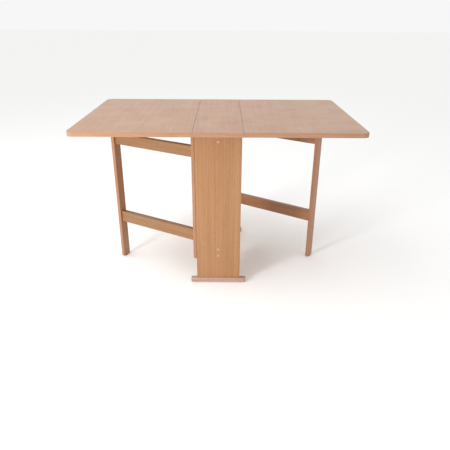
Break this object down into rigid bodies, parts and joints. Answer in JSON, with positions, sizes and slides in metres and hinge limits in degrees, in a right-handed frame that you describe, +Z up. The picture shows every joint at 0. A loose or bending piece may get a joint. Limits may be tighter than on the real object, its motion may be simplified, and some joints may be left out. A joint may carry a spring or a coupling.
{
  "type": "drop leaf table",
  "caption": "Rectangular drop leaf dining table, shown open: narrow fixed centre on two end panels, with a hinged leaf at each side held up by a swinging gate.",
  "frame": {"origin": "on the floor, under the middle of the table top", "axes": "+X along the length towards the right leaf, -Y towards the front panel, where the left gate hangs, +Z up"},
  "size_m": [1.2056, 0.76, 0.74],
  "materials": {
    "top_laminate": "satin beech-effect laminate",
    "edge_band": "satin wood-effect edge band",
    "panel_veneer": "satin beech-effect foil",
    "solid_beech": "satin lacquered beech",
    "dowel_wood": "raw beech",
    "hinge_brass": "satin brass-plated steel",
    "zinc_plate": "zinc-plated steel",
    "screw_steel": "zinc-plated steel",
    "cap_plastic": "matt beech-coloured plastic",
    "glide_plastic": "matt brown plastic"
  },
  "bodies": {
    "base": {"centre_top": "top_laminate", "centre_top_edging": "edge_band", "leaf_hinge_fixed_plates": "hinge_brass", "leaf_hinge_fixed_screws": "screw_steel", "leaf_hinge_pins": "hinge_brass", "front_panel": "panel_veneer", "rear_panel": "panel_veneer", "front_foot": "solid_beech", "rear_foot": "solid_beech", "panel_dowels": "dowel_wood", "foot_screws": "screw_steel", "foot_glides": "glide_plastic", "top_stretcher": "panel_veneer", "lower_stretcher": "panel_veneer", "stretcher_screws": "screw_steel", "stretcher_dowels": "dowel_wood", "screw_caps": "cap_plastic", "angle_brackets": "zinc_plate", "bracket_screws": "screw_steel", "gate_hinge_fixed_plates": "hinge_brass", "gate_hinge_fixed_screws": "screw_steel", "gate_hinge_pins": "hinge_brass"},
    "left_leaf": {"left_leaf_top": "top_laminate", "left_leaf_edging": "edge_band", "left_leaf_hinge_plates": "hinge_brass", "left_leaf_hinge_screws": "screw_steel", "left_gate_stop": "solid_beech", "left_stop_screws": "screw_steel"},
    "left_gate": {"left_gate_stile": "solid_beech", "left_gate_leg": "solid_beech", "left_gate_top_rail": "solid_beech", "left_gate_lower_rail": "solid_beech", "left_gate_dowels": "dowel_wood", "left_gate_hinge_plates": "hinge_brass", "left_gate_hinge_screws": "screw_steel", "left_gate_glide": "glide_plastic"},
    "right_leaf": {"right_leaf_top": "top_laminate", "right_leaf_edging": "edge_band", "right_leaf_hinge_plates": "hinge_brass", "right_leaf_hinge_screws": "screw_steel", "right_gate_stop": "solid_beech", "right_stop_screws": "screw_steel"},
    "right_gate": {"right_gate_stile": "solid_beech", "right_gate_leg": "solid_beech", "right_gate_top_rail": "solid_beech", "right_gate_lower_rail": "solid_beech", "right_gate_dowels": "dowel_wood", "right_gate_hinge_plates": "hinge_brass", "right_gate_hinge_screws": "screw_steel", "right_gate_glide": "glide_plastic"}
  },
  "joints": [
    {"name": "left_gate_swing", "type": "hinge", "parent": "base", "child": "left_gate", "pos_m": [-0.1025, -0.2655, 0.4], "axis": [0, 0, -1], "range_deg": [0, 60]},
    {"name": "right_gate_swing", "type": "hinge", "parent": "base", "child": "right_gate", "pos_m": [0.1025, 0.2655, 0.4], "axis": [0, 0, -1], "range_deg": [0, 56]},
    {"name": "left_leaf_lift", "type": "hinge", "parent": "base", "child": "left_leaf", "pos_m": [-0.1024, 0, 0.7176], "axis": [0, 1, 0], "range_deg": [0, 1.8]},
    {"name": "right_leaf_lift", "type": "hinge", "parent": "base", "child": "right_leaf", "pos_m": [0.1024, 0, 0.7176], "axis": [0, -1, 0], "range_deg": [0, 1.8]}
  ]
}
